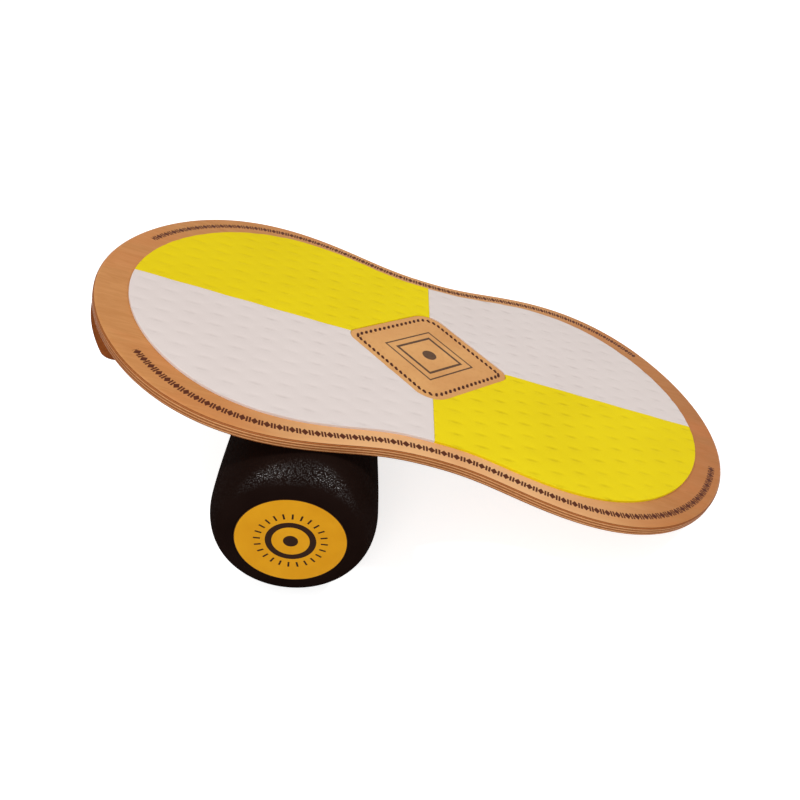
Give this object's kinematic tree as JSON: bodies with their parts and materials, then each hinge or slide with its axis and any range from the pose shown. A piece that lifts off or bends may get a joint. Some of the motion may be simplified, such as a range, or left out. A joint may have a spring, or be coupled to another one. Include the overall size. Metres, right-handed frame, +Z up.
{
  "type": "rola bola",
  "caption": "Peanut-shaped plywood balance deck with foam foot pads, resting on a loose bone-shaped roller that rolls beneath it between end stops.",
  "frame": {"origin": "centre of the overall box, on the floor that the roller and the deck's low end stand on", "axes": "+X along the deck toward its low end, +Y along the roller away from the near label, +Z up"},
  "size_m": [0.7388, 0.49, 0.2642],
  "materials": {
    "pale_veneer": "lacquered birch veneer",
    "dark_veneer": "lacquered birch veneer, end grain",
    "stop_wood": "lacquered beech",
    "yellow_foam": "embossed closed-cell foam, matte",
    "white_foam": "embossed closed-cell foam, matte",
    "tan_leather": "smooth, satin",
    "screw_steel": "zinc plated",
    "black_plastic": "fine grained moulding",
    "label_film": "satin film",
    "grey_plastic": "moulded"
  },
  "bodies": {
    "deck": {"deck_ply_1": "pale_veneer", "deck_ply_2": "dark_veneer", "deck_ply_3": "pale_veneer", "deck_ply_4": "dark_veneer", "deck_ply_5": "pale_veneer", "deck_ply_6": "dark_veneer", "deck_ply_7": "pale_veneer", "deck_ply_8": "dark_veneer", "deck_ply_9": "pale_veneer", "pad_far_high": "yellow_foam", "pad_near_high": "white_foam", "pad_far_low": "white_foam", "pad_near_low": "yellow_foam", "diamond_patch": "tan_leather", "low_end_stop": "stop_wood", "high_end_stop": "stop_wood", "low_stop_screw_1": "screw_steel", "low_stop_screw_2": "screw_steel", "low_stop_screw_3": "screw_steel", "high_stop_screw_1": "screw_steel", "high_stop_screw_2": "screw_steel", "high_stop_screw_3": "screw_steel"},
    "carrier": {"vent_plug": "grey_plastic"},
    "roller": {"roller_shell": "black_plastic", "near_label": "label_film", "far_label": "label_film"}
  },
  "joints": [
    {"name": "roller_travel", "type": "slide", "parent": "deck", "child": "carrier", "axis": [0.9511, 0, -0.309], "range_m": [-0.1611, 0.3938]},
    {"name": "roller_spin", "type": "hinge", "parent": "carrier", "child": "roller", "pos_m": [-0.13742, 0, 0.0866], "axis": [0, 1, 0], "range_deg": [-261, 107]}
  ],
  "couplings": [
    {"joint": "roller_spin", "follows": "roller_travel", "rad_per_m": -11.547}
  ]
}
